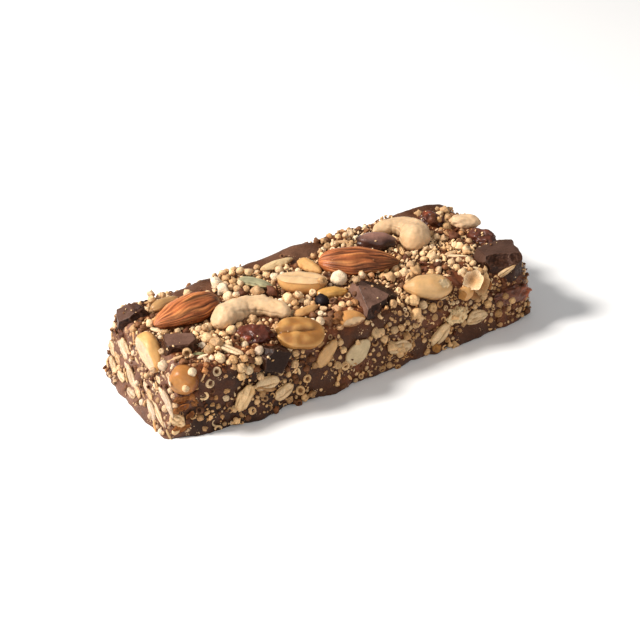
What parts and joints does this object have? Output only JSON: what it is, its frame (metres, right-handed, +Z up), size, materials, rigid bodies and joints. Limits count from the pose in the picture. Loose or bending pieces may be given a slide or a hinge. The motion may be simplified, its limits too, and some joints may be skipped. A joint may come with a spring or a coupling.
{
  "type": "protein bar",
  "caption": "Pressed grain and nut protein bar with whole nuts, dried fruit and chocolate chunks set in its top and cut sides.",
  "frame": {"origin": "centre of the bounding box in plan, on the plane that the bar rests on", "axes": "+Z up out of the topped side, +X along the bar's length, -Y towards the long side that the picture shows"},
  "size_m": [0.1151, 0.0467, 0.0237],
  "materials": {
    "pressed_grain": "puffed grain and oat flakes bound with chocolate, satin",
    "almond_skin": "roasted almond skin with fine lengthwise ridges, satin",
    "cashew_cream": "roasted cashew, smooth and pale, satin",
    "roasted_nut": "blanched roasted nut, slightly oily",
    "pale_nut": "cut nut and seed, dull",
    "green_seed": "grey green seed skin, dull",
    "dried_fruit": "dark dried fruit, wrinkled and sticky",
    "chocolate": "dark chocolate, broken faces, satin"
  },
  "bodies": {
    "root": {"bar_core": "pressed_grain", "almond_left": "almond_skin", "almond_centre": "almond_skin", "almond_back": "almond_skin", "cashew_left": "cashew_cream", "cashew_right": "cashew_cream", "cashew_far": "cashew_cream", "cashew_end_right": "cashew_cream", "peanut_far": "roasted_nut", "peanut_near": "roasted_nut", "peanut_right": "roasted_nut", "peanut_small": "roasted_nut", "peanut_left": "roasted_nut", "peanut_edge_left": "roasted_nut", "peanut_back": "roasted_nut", "hazelnut_corner": "roasted_nut", "hazelnut_right": "roasted_nut", "almond_sliver_front": "roasted_nut", "almond_flake_near": "roasted_nut", "almond_flake_far": "pale_nut", "nut_centre": "pale_nut", "nut_slice_front": "pale_nut", "walnut_front": "pale_nut", "sunflower_seed": "pale_nut", "pumpkin_seed": "green_seed", "raisin_dark": "dried_fruit", "raisin_far": "dried_fruit", "raisin_right": "dried_fruit", "date_centre": "dried_fruit", "date_right": "dried_fruit", "chocolate_far_left": "chocolate", "chocolate_near_left": "chocolate", "chocolate_edge": "chocolate", "chocolate_wedge": "chocolate", "chocolate_right": "chocolate", "chocolate_back": "chocolate"}
  },
  "joints": []
}
